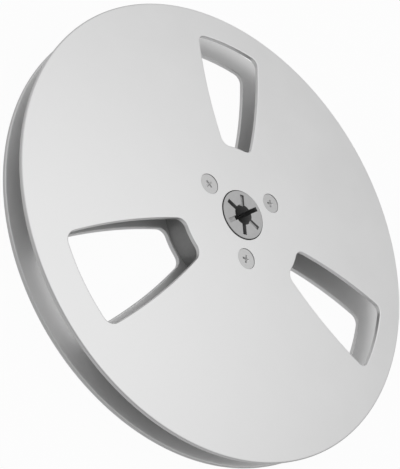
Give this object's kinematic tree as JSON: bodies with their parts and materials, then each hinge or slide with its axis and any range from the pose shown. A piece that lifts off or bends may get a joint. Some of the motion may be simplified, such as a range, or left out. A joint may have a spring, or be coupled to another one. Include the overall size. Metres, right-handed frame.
{
  "type": "audio tape reel",
  "caption": "Empty open-reel tape reel: two flat windowed metal flanges screwed to a hub core, with a keyed spindle bush for a winged spindle.",
  "frame": {"origin": "on the spindle axis, at the rear end of the spindle bush, which is the reel's lowest point when it lies on its rear side", "axes": "+Z along the spindle axis, from the rear flange to the front flange; -Y along the middle of the first window"},
  "size_m": [0.1778, 0.1778, 0.0138],
  "materials": {
    "flange_aluminium": "satin anodised",
    "core_casting": "satin casting",
    "bush_plastic": "smooth moulded",
    "screw_steel": "satin plated"
  },
  "bodies": {
    "root": {"front_flange": "flange_aluminium", "rear_flange": "flange_aluminium", "hub_core": "core_casting", "spindle_bush": "bush_plastic", "front_screw_1": "screw_steel", "front_screw_2": "screw_steel", "front_screw_3": "screw_steel", "rear_screw_1": "screw_steel", "rear_screw_2": "screw_steel", "rear_screw_3": "screw_steel"}
  },
  "joints": []
}
